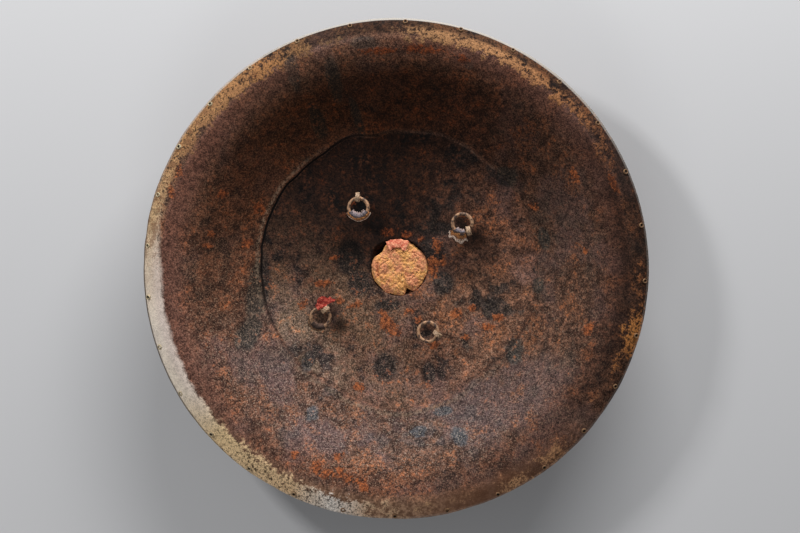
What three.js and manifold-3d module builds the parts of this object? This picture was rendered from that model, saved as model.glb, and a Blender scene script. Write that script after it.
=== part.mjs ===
// A round iron shield with its hand side up. One hammered sheet has a turned-down lip, a sloping wall, a low
// step round the centre disc and a hollow centre boss. Four iron eyes hold four strap rings, with torn straps
// on three. The shield lies on its front, on the flats of four hollow bosses, and fibre stuffing fills the
// centre boss. Millimetres and degrees. +X is right and +Y is up as the shield was held, +Z points out of the
// hand side, and the origin is on the ground under the middle.

import * as THREE from 'three';
import { mergeVertices } from 'three/addons/utils/BufferGeometryUtils.js';
import Module from 'manifold-3d';

const wasm = await Module();
wasm.setup();

// Shield sheet
const rimAcross = 500;
const rimUpright = 495.5;
const sheetThickness = 2;
const lipWidth = 21;
const lipDrop = 9;
const wallRise = 45;
const stepAcross = 277;
const stepWidth = 4;
const stepRise = 3.6;
const stepShape = [[0.3, 0.2], [0.65, 0.85], [1, 1]];
const discFlatAcross = 208;
const discTurnUp = 3;
const discAboveGround = 15.5;
const sheetSides = 48;

// Centre boss, hollowed out of the same sheet
const centreBossMouth = 58;
const centreBossDepth = 12;

// Stuffing and the scrap of cloth on it
const wadClearance = 0.6;
const wadRise = 1.6;
const wadCloth = { from: 70, to: 120, width: 8, thickness: 1.2 };
const wadCrown = [[0.9, 0.8], [0.5, 1], [0, 0.7]];
const wadDents = [
  { middle: 138, width: 15, depth: 0.3 },
  { middle: 293, width: 7, depth: 0.24 },
  { middle: 325, width: 22, depth: 0.06 },
  { middle: 60, width: 25, depth: 0.04 },
];

// Eyes of the strap rings: a strip bent round to an eye, with both legs together through the sheet
const eyeCircle = 161.2;
const eyeTurn = 29.5;
const eyeHole = 7;
const eyeAboveDisc = 16;
const stripWidth = 4.2;
const stripThickness = 1.5;
const legSpread = 6.6;
const legEndLift = 0.5;

// Strap rings of round wire
const ringAcross = 22.4;
const ringWire = 3.1;
const ringSides = 18;
const wireSides = 6;

// Hollow front bosses, one over the legs of each eye
const bossAcross = 36;
const bossWall = 1.6;
const bossFlatAcross = 14;
const bossSides = 12;

// Torn strap ends and a scrap of their cloth
const strapThickness = 1.3;
const clothThickness = 0.8;

// Small rivets round the lip
const rivetCount = 29;
const rivetFromEdge = 4;
const rivetShank = 2.2;
const rivetHead = 4.8;
const rivetHeadRise = 0.9;
const rivetFrontHead = 4.1;
const rivetSides = 6;
const rivetStart = 174.2;
const rivetWander = { mean: -1.5, swing: 2.8, peak: 130 };

// Clearance between pieces that touch
const gap = 0.3;

// The four corners by hand, as the real ones stand: out and round move the eye off the even circle, strip is
// the way that its strip runs, hang is the way from the eye to the ring's middle, slack is how far the wire
// lies off the eye's middle, lean tips the ring, joint is where the wire's ends meet, and open is the space
// between them. A wrap is a torn strap round the ring's wire, from one angle to another, with a tail that
// dips towards the disc.
const corners = [
  {
    name: 'upper_left', quarter: 90, out: 1.3, round: 0.3, strip: 90,
    hang: 274, slack: 1.2, lean: 0, joint: 20, open: 0.5,
    wraps: [{ name: 'strap_upper_left', from: -69, to: 61, tail: 3, dip: 50, slot: 'leather' }],
  },
  {
    name: 'upper_right', quarter: 0, out: -0.8, round: -1.6, strip: 105,
    hang: 131, slack: 0, lean: 0, joint: 202, open: 2.4,
    wraps: [{ name: 'strap_upper_right', from: 84, to: 154, tail: 10, dip: 35, slot: 'leather' }],
  },
  {
    name: 'lower_left', quarter: 180, out: 3.3, round: 0.1, strip: 40,
    hang: 238, slack: 0, lean: -18, joint: 20, open: 0.5,
    wraps: [
      { name: 'strap_lower_left', from: -30, to: 52, tail: 6, dip: 45, slot: 'leather' },
      { name: 'red_cloth_scrap', from: -148, to: -112, tail: 7, dip: -20, slot: 'cloth' },
    ],
  },
  {
    name: 'lower_right', quarter: 270, out: -3.7, round: 1.1, strip: 142,
    hang: 167, slack: 0, lean: 4, joint: 84, open: 0.7,
    wraps: [],
  },
];

// Sizes that follow from the ones above
const rimRadius = rimAcross / 2;
const crestRadius = rimRadius - lipWidth;
const stepFootRadius = stepAcross / 2;
const stepTopRadius = stepFootRadius + stepWidth;
const discTop = discAboveGround + sheetThickness;
const stepFootTop = discTop + discTurnUp;
const wallFootTop = stepFootTop + stepRise;
const crestTop = wallFootTop + wallRise;
const ringRadius = (ringAcross - ringWire) / 2;
const shankThickness = 2 * stripThickness;
const bossFacetShare = Math.cos(Math.PI / bossSides);
const shankHoleRadius = Math.hypot(stripWidth, shankThickness) / 2 + gap;
const countersinkRadius = (Math.hypot(stripWidth, legSpread) / 2 + gap) / bossFacetShare;

const materials = {
  iron: new THREE.MeshStandardMaterial({ color: 0x4f382c, roughness: 0.85, metalness: 0.35 }),
  ring: new THREE.MeshStandardMaterial({ color: 0x8a6a55, roughness: 0.7, metalness: 0.5 }),
  rivet: new THREE.MeshStandardMaterial({ color: 0xa08a66, roughness: 0.7, metalness: 0.5 }),
  fibre: new THREE.MeshStandardMaterial({ color: 0xb9834a, roughness: 0.95, metalness: 0 }),
  leather: new THREE.MeshStandardMaterial({ color: 0x8a7468, roughness: 0.9, metalness: 0 }),
  cloth: new THREE.MeshStandardMaterial({ color: 0xb23a34, roughness: 0.95, metalness: 0 }),
};

const shield = new THREE.Group();

function radians(degrees) {
  return THREE.MathUtils.degToRad(degrees);
}

function addPiece(parent, name, geometry, material) {
  const mesh = new THREE.Mesh(geometry, material.clone());
  mesh.name = name;
  parent.add(mesh);
  return mesh;
}

// Booleans on closed meshes

function toSolid(geometry) {
  const bare = geometry.clone();
  bare.deleteAttribute('normal');
  bare.deleteAttribute('uv');
  const merged = mergeVertices(bare);
  const vertProperties = merged.attributes.position.array;
  const triVerts = new Uint32Array(merged.index.array);
  return new wasm.Manifold(new wasm.Mesh({ numProp: 3, vertProperties, triVerts }));
}

function toGeometry(solid) {
  const { vertProperties, triVerts } = solid.getMesh();
  const geometry = new THREE.BufferGeometry();
  geometry.setAttribute('position', new THREE.BufferAttribute(new Float32Array(vertProperties), 3));
  geometry.setIndex(new THREE.BufferAttribute(new Uint32Array(triVerts), 1));
  geometry.computeVertexNormals();
  return geometry;
}

// A profile of radius and height, anticlockwise as it is seen with its axis on the left, turned round +Z
function turned(profile, sides) {
  return new THREE.LatheGeometry(profile, sides).rotateX(radians(90));
}

// Profile of the hollow in the centre boss, from its floor up to its mouth
function centreBossProfile() {
  const profile = [];
  const bossSteps = 3;
  const bossFullness = 0.7;
  for (let i = 0; i <= bossSteps; i += 1) {
    const turn = radians((90 * i) / bossSteps);
    const radius = (centreBossMouth / 2) * Math.sin(turn) ** bossFullness;
    profile.push(new THREE.Vector2(radius, discTop - centreBossDepth * Math.cos(turn)));
  }
  return profile;
}

// Profile of the sheet's hand side, from the axis out to the rim's edge
function sheetProfile() {
  const profile = centreBossProfile();
  const flatRadius = discFlatAcross / 2;
  profile.push(new THREE.Vector2(flatRadius, discTop));
  const turnUpSteps = 2;
  for (let i = 1; i <= turnUpSteps; i += 1) {
    const share = i / turnUpSteps;
    const radius = THREE.MathUtils.lerp(flatRadius, stepFootRadius, share);
    profile.push(new THREE.Vector2(radius, discTop + discTurnUp * share ** 2));
  }
  for (const [run, rise] of stepShape) {
    profile.push(new THREE.Vector2(stepFootRadius + stepWidth * run, stepFootTop + stepRise * rise));
  }
  const wallSteps = 5;
  for (let i = 1; i <= wallSteps; i += 1) {
    const share = i / wallSteps;
    const radius = THREE.MathUtils.lerp(stepTopRadius, crestRadius, share);
    profile.push(new THREE.Vector2(radius, wallFootTop + wallRise * wallCurve(share)));
  }
  const lipSteps = 3;
  const lipFullness = 1.6;
  for (let i = 1; i <= lipSteps; i += 1) {
    const share = i / lipSteps;
    const height = crestTop - lipDrop * share ** lipFullness;
    profile.push(new THREE.Vector2(crestRadius + lipWidth * share, height));
  }
  return profile;
}

// The wall leaves its foot at a slope, steepens, and rounds over level at the crest
function wallCurve(share) {
  const footSlope = 0.5;
  const smooth = share ** 2 * (3 - 2 * share);
  return smooth + footSlope * share * (1 - share) ** 2;
}

// The same profile moved square to itself, to the other side of the sheet
function offsetProfile(profile, distance) {
  const normals = profile.slice(1).map((point, i) => {
    const along = point.clone().sub(profile[i]).normalize();
    return new THREE.Vector2(along.y, -along.x);
  });
  return profile.map((point, i) => {
    const before = normals[Math.max(i - 1, 0)];
    const after = normals[Math.min(i, normals.length - 1)];
    const mitre = before.clone().add(after).normalize();
    const moved = point.clone().addScaledVector(mitre, distance / mitre.dot(after));
    return i === 0 ? new THREE.Vector2(0, point.y - distance) : moved;
  });
}

// A little oval: the rim is less tall than wide, and the disc stays round
function ovalShare(radius) {
  return 1 - (1 - rimUpright / rimAcross) * (radius / rimRadius) ** 2;
}

const handProfile = sheetProfile();
const frontProfile = offsetProfile(handProfile, sheetThickness);

// The middle of the sheet's thickness at a radius and angle on its flat facets, which start at -Y, with the
// slope there
function sheetPlace(radius, angle) {
  const outer = handProfile.findIndex((point) => point.x >= radius);
  const inside = handProfile[outer - 1];
  const outside = handProfile[outer];
  const share = (radius - inside.x) / (outside.x - inside.x);
  const slope = Math.atan2(outside.y - inside.y, outside.x - inside.x);
  const facet = 360 / sheetSides;
  const offFacet = THREE.MathUtils.euclideanModulo(angle + 90, facet) - facet / 2;
  const flattened = (radius * Math.cos(radians(facet / 2))) / Math.cos(radians(offFacet));
  const middle = flattened + (sheetThickness / 2) * Math.sin(slope);
  const height = THREE.MathUtils.lerp(inside.y, outside.y, share) - (sheetThickness / 2) * Math.cos(slope);
  const across = middle * Math.cos(radians(angle));
  const up = middle * Math.sin(radians(angle)) * ovalShare(radius);
  return { position: new THREE.Vector3(across, up, height), slope };
}

// Rivet places: nearly even steps round the lip, which wander as work by eye does
const rivetPlaces = Array.from({ length: rivetCount }, (_, i) => {
  const even = rivetStart + (360 * i) / rivetCount;
  const angle = even + rivetWander.mean + rivetWander.swing * Math.cos(radians(even - rivetWander.peak));
  return { angle, ...sheetPlace(rimRadius - rivetFromEdge, angle) };
});

// Eye places: even quarters of a circle, each moved a little
const eyePlaces = corners.map((corner) => {
  const angle = radians(eyeTurn + corner.quarter + corner.round);
  const radius = eyeCircle / 2 + corner.out;
  return new THREE.Vector2(radius * Math.cos(angle), radius * Math.sin(angle));
});

// Turns a piece made round +Z so that it stands square on the sloping lip
function standOnLip(object, place) {
  object.position.copy(place.position);
  object.rotation.set(0, -place.slope, radians(place.angle), 'ZYX');
}

// Shield body

function shieldBody() {
  const outline = [...frontProfile, ...handProfile.slice().reverse()];
  const sheet = turned(outline, sheetSides);
  const position = sheet.getAttribute('position');
  for (let i = 0; i < position.count; i += 1) {
    const radius = Math.hypot(position.getX(i), position.getY(i));
    position.setY(i, position.getY(i) * ovalShare(radius));
  }
  let solid = toSolid(sheet);
  const drillLength = 4 * sheetThickness;
  const rivetHole = rivetShank / 2 + gap;
  const shankHoleSides = 10;
  for (const place of rivetPlaces) {
    const bit = new THREE.CylinderGeometry(rivetHole, rivetHole, drillLength, rivetSides);
    const drill = new THREE.Mesh(bit.rotateX(radians(90)));
    standOnLip(drill, place);
    drill.updateMatrix();
    solid = solid.subtract(toSolid(drill.geometry.applyMatrix4(drill.matrix)));
  }
  for (const place of eyePlaces) {
    const drill = new THREE.CylinderGeometry(shankHoleRadius, shankHoleRadius, drillLength, shankHoleSides);
    drill.rotateX(radians(90)).translate(place.x, place.y, discTop - sheetThickness / 2);
    solid = solid.subtract(toSolid(drill));
  }
  return toGeometry(solid);
}

// Eye and shank in one: the strip runs along X and Z, and its width lies along Y

function eyeStrip() {
  const eyeHeight = discTop + eyeAboveDisc;
  const outerRadius = eyeHole / 2 + stripThickness;
  const half = shankThickness / 2;
  const neck = Math.asin(half / outerRadius);
  const spreadTop = bossWall;
  const outline = new THREE.Shape();
  outline.moveTo(-legSpread / 2, legEndLift);
  outline.lineTo(legSpread / 2, legEndLift);
  outline.lineTo(half, spreadTop);
  outline.absarc(0, eyeHeight, outerRadius, -Math.PI / 2 + neck, (3 * Math.PI) / 2 - neck, false);
  outline.lineTo(-half, spreadTop);
  outline.closePath();
  const hole = new THREE.Path();
  hole.absarc(0, eyeHeight, eyeHole / 2, 0, 2 * Math.PI, false);
  outline.holes.push(hole);
  const bar = { depth: stripWidth, bevelEnabled: false, curveSegments: 8 };
  const strip = new THREE.ExtrudeGeometry(outline, bar);
  return strip.translate(0, 0, -stripWidth / 2).rotateX(radians(90));
}

// Ring of wire with its ends butted together, in its own plane

function wireRing(joint, open) {
  const wire = toSolid(new THREE.TorusGeometry(ringRadius, ringWire / 2, wireSides, ringSides));
  const saw = new THREE.BoxGeometry(2 * ringWire, open, 2 * ringWire);
  saw.translate(ringRadius, 0, 0).rotateZ(radians(joint));
  return toGeometry(wire.subtract(toSolid(saw)));
}

// A part of a turned piece, between two angles

function sector(geometry, from, to, reach) {
  const fan = new THREE.Shape();
  fan.moveTo(0, 0);
  fan.lineTo(reach * Math.cos(radians(from)), reach * Math.sin(radians(from)));
  fan.absarc(0, 0, reach, radians(from), radians(to), false);
  fan.closePath();
  const wedge = new THREE.ExtrudeGeometry(fan, { depth: 2 * reach, bevelEnabled: false, curveSegments: 6 });
  return toSolid(geometry).intersect(toSolid(wedge.translate(0, 0, -reach)));
}

// Strap folded round the ring's wire, its two layers together in a short tail

function strapWrap({ from, to, tail, dip, slot }) {
  const thickness = slot === 'cloth' ? clothThickness : strapThickness;
  const foldRadius = ringWire / 2 + gap + thickness;
  const way = radians(-dip);
  const foldSteps = 4;
  const opening = Math.asin(thickness / foldRadius);
  const profile = [];
  for (const side of [-1, 1]) {
    const reach = new THREE.Vector2(foldRadius + tail, side * thickness);
    profile.push(reach.rotateAround(new THREE.Vector2(), way));
  }
  for (let i = 0; i <= foldSteps; i += 1) {
    const turn = way + THREE.MathUtils.lerp(opening, 2 * Math.PI - opening, i / foldSteps);
    profile.push(new THREE.Vector2(foldRadius * Math.cos(turn), foldRadius * Math.sin(turn)));
  }
  profile.push(profile[0].clone());
  for (const point of profile) point.x += ringRadius;
  const channel = toSolid(new THREE.TorusGeometry(ringRadius, ringWire / 2 + gap, wireSides, ringSides));
  const folded = sector(turned(profile, ringSides), from, to, ringAcross + foldRadius + tail);
  return toGeometry(folded.subtract(channel));
}

// Front boss: a hollow dome with a flat at its top and a hole for the legs, made round its own axis

function frontBoss() {
  const height = discAboveGround - gap;
  const flatRadius = bossFlatAcross / 2;
  const domeSteps = 3;
  const dome = (inset) => {
    const points = [];
    for (let i = 0; i <= domeSteps; i += 1) {
      const turn = radians((90 * i) / domeSteps);
      const radius = THREE.MathUtils.lerp(flatRadius, bossAcross / 2 - inset, Math.sin(turn));
      points.push(new THREE.Vector2(radius, inset + (height - inset) * (1 - Math.cos(turn))));
    }
    return points;
  };
  const outside = dome(0);
  const inside = dome(bossWall).reverse();
  const profile = [
    new THREE.Vector2(countersinkRadius, 0),
    ...outside,
    ...inside,
    new THREE.Vector2(shankHoleRadius, bossWall),
    new THREE.Vector2(countersinkRadius, legEndLift),
    new THREE.Vector2(countersinkRadius, 0),
  ];
  return turned(profile, bossSides);
}

// Rivet for the lip: a low head on each side of the sheet and a shank through it

function rimRivet() {
  const seat = sheetThickness / 2 + gap;
  const shank = rivetShank / 2;
  const profile = [
    new THREE.Vector2(0, -seat - rivetHeadRise),
    new THREE.Vector2(rivetFrontHead / 2, -seat),
    new THREE.Vector2(shank, -seat),
    new THREE.Vector2(shank, seat),
    new THREE.Vector2(rivetHead / 2, seat),
    new THREE.Vector2(0, seat + rivetHeadRise),
  ];
  return turned(profile, rivetSides);
}

// Stuffing that fills the centre boss, with a bite out at the upper left and a nick at the lower right

function wadShare(angle) {
  let share = 1;
  for (const { middle, width, depth } of wadDents) {
    const off = THREE.MathUtils.euclideanModulo(angle - middle + 180, 360) - 180;
    share -= depth * Math.exp(-((off / width) ** 2));
  }
  return share;
}

function stuffing() {
  const mouthRadius = centreBossMouth / 2 - wadClearance;
  const profile = [
    ...offsetProfile(centreBossProfile(), -wadClearance),
    ...wadCrown.map(([out, rise]) => new THREE.Vector2(mouthRadius * out, discTop + wadRise * rise)),
  ];
  const lumpSides = 24;
  const lump = turned(profile, lumpSides);
  const position = lump.getAttribute('position');
  for (let i = 0; i < position.count; i += 1) {
    const angle = THREE.MathUtils.radToDeg(Math.atan2(position.getY(i), position.getX(i)));
    const share = wadShare(angle);
    position.setX(i, position.getX(i) * share);
    position.setY(i, position.getY(i) * share);
  }
  return toGeometry(toSolid(lump));
}

// Scrap of cloth on the stuffing's upper edge
function wadScrap() {
  const outer = centreBossMouth / 2 - wadClearance;
  const inner = outer - wadCloth.width;
  const under = discTop + wadRise + gap;
  const top = under + wadCloth.thickness;
  const profile = [
    new THREE.Vector2(inner, under),
    new THREE.Vector2(outer, under),
    new THREE.Vector2(outer, top),
    new THREE.Vector2(inner, top),
    new THREE.Vector2(inner, under),
  ];
  const clothSides = 36;
  return toGeometry(sector(turned(profile, clothSides), wadCloth.from, wadCloth.to, centreBossMouth));
}

// The shield put together

addPiece(shield, 'shield_body', shieldBody(), materials.iron);
addPiece(shield, 'centre_wad', stuffing(), materials.fibre);
addPiece(shield, 'wad_cloth', wadScrap(), materials.cloth);

corners.forEach((corner, i) => {
  const stand = new THREE.Group();
  stand.position.set(eyePlaces[i].x, eyePlaces[i].y, 0);
  shield.add(stand);
  addPiece(stand, `front_boss_${corner.name}`, frontBoss(), materials.iron);
  const eye = addPiece(stand, `ring_eye_${corner.name}`, eyeStrip(), materials.ring);
  eye.rotation.z = radians(corner.strip);
  const hanging = new THREE.Group();
  hanging.position.z = discTop + eyeAboveDisc;
  hanging.rotation.set(radians(corner.lean), 0, radians(corner.hang), 'ZYX');
  stand.add(hanging);
  const middle = new THREE.Group();
  middle.position.x = ringRadius + corner.slack;
  hanging.add(middle);
  addPiece(middle, `strap_ring_${corner.name}`, wireRing(corner.joint, corner.open), materials.ring);
  for (const wrap of corner.wraps) addPiece(middle, wrap.name, strapWrap(wrap), materials[wrap.slot]);
});

rivetPlaces.forEach((place, i) => {
  const rivet = addPiece(shield, `rim_rivet_${String(i + 1).padStart(2, '0')}`, rimRivet(), materials.rivet);
  standOnLip(rivet, place);
});

export default shield;
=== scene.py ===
from math import atan2, cos, degrees, exp, hypot, radians, sin, tau

import bpy
from mathutils import Matrix, Vector, noise


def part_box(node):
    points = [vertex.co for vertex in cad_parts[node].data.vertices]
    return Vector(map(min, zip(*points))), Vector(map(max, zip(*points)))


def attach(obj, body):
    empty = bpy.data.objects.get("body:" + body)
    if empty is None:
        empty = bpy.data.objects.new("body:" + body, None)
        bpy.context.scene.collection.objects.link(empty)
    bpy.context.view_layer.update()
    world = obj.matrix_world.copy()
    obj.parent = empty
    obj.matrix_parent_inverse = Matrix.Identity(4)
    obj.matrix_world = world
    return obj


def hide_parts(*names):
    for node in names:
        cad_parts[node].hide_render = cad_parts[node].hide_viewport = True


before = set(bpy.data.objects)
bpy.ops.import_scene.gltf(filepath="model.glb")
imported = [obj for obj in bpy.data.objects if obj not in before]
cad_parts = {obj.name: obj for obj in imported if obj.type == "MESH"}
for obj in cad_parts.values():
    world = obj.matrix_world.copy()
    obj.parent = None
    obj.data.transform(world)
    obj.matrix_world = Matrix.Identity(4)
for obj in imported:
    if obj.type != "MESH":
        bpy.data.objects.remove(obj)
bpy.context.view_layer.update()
bpy.ops.object.select_all(action="DESELECT")

# Camera
# The shield lies with its hand side up. The camera looks straight down on it through a long lens, a little to
# the right of its middle, with the picture shifted back over the shield. Its top is the picture's top.
lens, film = 85, 36
picture_width = 800
pixel_at_rim = 0.000988
rim_level = 0.060
picture_middle = Vector((0.0037, 0.0019))
aside = Vector((0.140, 0.030))
seen_width = picture_width * pixel_at_rim
standing = (*(picture_middle + aside), rim_level + seen_width * lens / film)
bpy.ops.object.camera_add(location=standing, rotation=(0, 0, 0))
camera = bpy.context.object
camera.data.lens = lens
camera.data.sensor_width = film
camera.data.shift_x, camera.data.shift_y = -aside / seen_width
bpy.context.scene.camera = camera

# Studio
# A wide soft box stands low beyond the top edge, so that the dish shades itself at the top and its lower wall
# catches the light. A smaller one at the upper left throws the rings' shadows to the lower right. A weak one
# below the picture and a dim pale sky fill the rest. The floor is plain and pale.
boxes = {
    "top_box": {"way": 74, "height": 22, "distance": 1.9, "size": (1.5, 0.45), "power": 46},
    "key_box": {"way": 139, "height": 34, "distance": 2.0, "size": (0.3, 0.3), "power": 17},
    "fill_box": {"way": 264, "height": 32, "distance": 2.0, "size": (1.2, 0.5), "power": 8},
}
for name, box in boxes.items():
    way, height = radians(box["way"]), radians(box["height"])
    level = cos(height)
    place = box["distance"] * Vector((cos(way) * level, sin(way) * level, sin(height)))
    turn = place.to_track_quat("Z", "Y").to_euler()
    bpy.ops.object.light_add(type="AREA", location=place, rotation=turn)
    lamp = bpy.context.object
    lamp.name = name
    lamp.data.shape = "RECTANGLE"
    lamp.data.size, lamp.data.size_y = box["size"]
    lamp.data.energy = box["power"]

sky = bpy.data.worlds.new("studio_sky")
sky.use_nodes = True
sky.node_tree.nodes["Background"].inputs["Color"].default_value = (0.93, 0.96, 1, 1)
sky.node_tree.nodes["Background"].inputs["Strength"].default_value = 0.1
bpy.context.scene.world = sky
bpy.context.scene.view_settings.view_transform = "Standard"

bpy.ops.mesh.primitive_plane_add(size=8)
floor = bpy.context.object
floor.name = "floor"
floor_paint = bpy.data.materials.new("floor_paint")
floor_paint.use_nodes = True
floor_paint.node_tree.nodes["Principled BSDF"].inputs["Base Color"].default_value = (0.62, 0.62, 0.63, 1)
floor_paint.node_tree.nodes["Principled BSDF"].inputs["Roughness"].default_value = 0.9
floor.data.materials.append(floor_paint)

# Shield body, its shape
# One sheet of iron, hammered out to a dish: a hollow boss at the middle, a flat disc, a low step that was set
# in by eye, a wall that rounds over at its crest, and a lip turned down round the edge.
body_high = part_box("shield_body")[1]
rim_radius = body_high.x
rim_oval = body_high.y / body_high.x
crest_top = body_high.z
sheet = 0.002
lip_width, lip_drop = 0.021, 0.009
wall_rise = 0.045
step_foot, step_width, step_rise = 0.1385, 0.004, 0.0036
disc_flat, disc_turn_up = 0.104, 0.003
disc_top = crest_top - wall_rise - step_rise - disc_turn_up
boss_mouth, boss_depth = 0.029, 0.012
crest_radius = rim_radius - lip_width
wall_foot = step_foot + step_width
round_steps = 180


def share_of(low, high, share):
    """The value that lies at a share of the way from low to high"""
    return low + (high - low) * share


def wall_height(share):
    """Height up the wall as a share: a slope at its foot, steep in the middle, level at the crest"""
    return share ** 2 * (3 - 2 * share) + 0.5 * share * (1 - share) ** 2


def sheet_rings():
    """The hand side's rings from the middle out to the rim, each a radius and a height"""
    rings = []
    for angle in (12, 28, 44, 60, 74, 84, 90):
        turn = radians(angle)
        rings.append((boss_mouth * sin(turn) ** 0.7, disc_top - boss_depth * cos(turn)))
    rings.append((boss_mouth + 0.001, disc_top))
    for i in range(1, 10):
        rings.append((share_of(boss_mouth, disc_flat, i / 9), disc_top))
    for i in range(1, 5):
        share = i / 4.3
        rings.append((share_of(disc_flat, step_foot, share), disc_top + disc_turn_up * share ** 2))
    foot_height = disc_top + disc_turn_up
    for out, rise in ((-0.0008, -0.06), (0, 0), (0.0006, 0.35), (0.0013, 0.8), (0.0022, 0.95), (0.004, 1)):
        rings.append((step_foot + out, foot_height + step_rise * rise))
    for i in range(1, 19):
        share = i / 18
        height = foot_height + step_rise + wall_rise * wall_height(share)
        rings.append((share_of(wall_foot, crest_radius, share), height))
    for i in range(1, 7):
        share = i / 6
        rings.append((share_of(crest_radius, rim_radius, share), crest_top - lip_drop * share ** 1.6))
    return rings


def pull_rings(rings):
    """Lifts a new circle to the first ring's height and extrudes its open edge to each further ring"""
    bpy.ops.transform.translate(value=(0, 0, rings[0][1]))
    bpy.ops.mesh.select_mode(type="EDGE")
    bpy.ops.mesh.select_all(action="DESELECT")
    bpy.ops.mesh.select_non_manifold()
    for (radius, height), (next_radius, next_height) in zip(rings, rings[1:]):
        bpy.ops.mesh.extrude_edges_move(TRANSFORM_OT_translate={"value": (0, 0, next_height - height)})
        grow = next_radius / radius
        bpy.ops.transform.resize(value=(grow, grow, 1), center_override=(0, 0, next_height))


def face_outward():
    """Turns the faces of the piece in hand outward and leaves edit mode"""
    bpy.ops.mesh.select_all(action="SELECT")
    bpy.ops.mesh.normals_make_consistent(inside=False)
    bpy.ops.object.mode_set(mode="OBJECT")


rings = sheet_rings()
bpy.ops.mesh.primitive_circle_add(
    vertices=round_steps, radius=rings[0][0], fill_type="TRIFAN", enter_editmode=True)
body = bpy.context.object
body.name = "hammered_body"
pull_rings(rings)
face_outward()
if body.data.polygons[-1].normal.z < 0:
    body.data.flip_normals()

# Where the hand-set step leaves its circle: the angle, how far a bump reaches along it and how far out it is
step_bumps = (
    (160, 16, 0.0018), (147, 6, 0.001), (111, 7, 0.0034), (101, 5, -0.003), (70, 9, 0.0022),
    (30, 14, 0.0004), (316, 8, -0.002), (306, 9, -0.0042), (290, 5, 0.001), (270, 11, 0.0048),
    (252, 6, 0.001), (238, 9, -0.0016), (200, 14, 0.0006),
)


def turn_between(angle, other):
    """Degrees from one angle to another, the short way round"""
    return (angle - other + 180) % 360 - 180


def step_wander(angle):
    """How far the step stands out of its circle at an angle"""
    wander = sum(out * exp(-((turn_between(angle, at) / reach) ** 2)) for at, reach, out in step_bumps)
    way = Vector((cos(radians(angle)), sin(radians(angle)), 0))
    return wander + 0.0014 * noise.noise(way * 9) + 0.0006 * noise.noise(way * 27)


# The boss's mouth is worn back at one side, the step is lowest at another, the rim is ragged and the lip wavy
worn_at, worn_back = 139, 0.003
soft_at, soft_out = 318, 0.0022
rim_band, rim_rag = 0.006, 0.0004
lip_wave = 0.0012
from_step = body.data.attributes.new("from_step", "FLOAT", "POINT")
for vertex in body.data.vertices:
    place = vertex.co
    radius = hypot(place.x, place.y)
    if radius < 1e-6:
        from_step.data[vertex.index].value = -step_foot
        continue
    angle = degrees(atan2(place.y, place.x))
    off_step = radius - step_foot
    from_step.data[vertex.index].value = off_step
    moved = radius + step_wander(angle) * exp(-((off_step / 0.022) ** 2))
    near_worn = exp(-((turn_between(angle, worn_at) / 20) ** 2) - ((radius - boss_mouth) / 0.005) ** 2)
    moved += worn_back * near_worn
    soft_side = 0.5 + 0.5 * cos(radians(angle - soft_at))
    if off_step > 0:
        moved += soft_out * soft_side * min(off_step / step_width, 1) * exp(-((off_step / 0.03) ** 2))
    edge_share = max(0, 1 - (rim_radius - radius) / rim_band)
    ragged = noise.noise(place * 60) + 0.6 * noise.noise(place * 190)
    moved += rim_rag * edge_share * (ragged - 0.8)
    lip_share = max(0, (radius - crest_radius) / lip_width)
    vertex.co.z += lip_wave * lip_share * noise.noise(place * 14)
    vertex.co.x = place.x * moved / radius
    vertex.co.y = place.y * moved / radius * share_of(1, rim_oval, (radius / rim_radius) ** 2)


def use(kind, **settings):
    """Adds a modifier to the piece in hand, sets it and applies it"""
    piece = bpy.context.object
    made = piece.modifiers.new(kind.lower(), kind)
    for name, value in settings.items():
        setattr(made, name, value)
    bpy.ops.object.modifier_apply(modifier=made.name)


def dent(size, depth, lumps="BLENDER_ORIGINAL"):
    """Pushes the piece in hand in and out along its normals with a cloudy pattern of that size"""
    pattern = bpy.data.textures.new("dents", "CLOUDS")
    pattern.noise_scale = size
    pattern.noise_basis = lumps
    use("DISPLACE", texture=pattern, strength=depth, mid_level=0.5, texture_coords="LOCAL")


use("SUBSURF", levels=1, render_levels=1)

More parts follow.
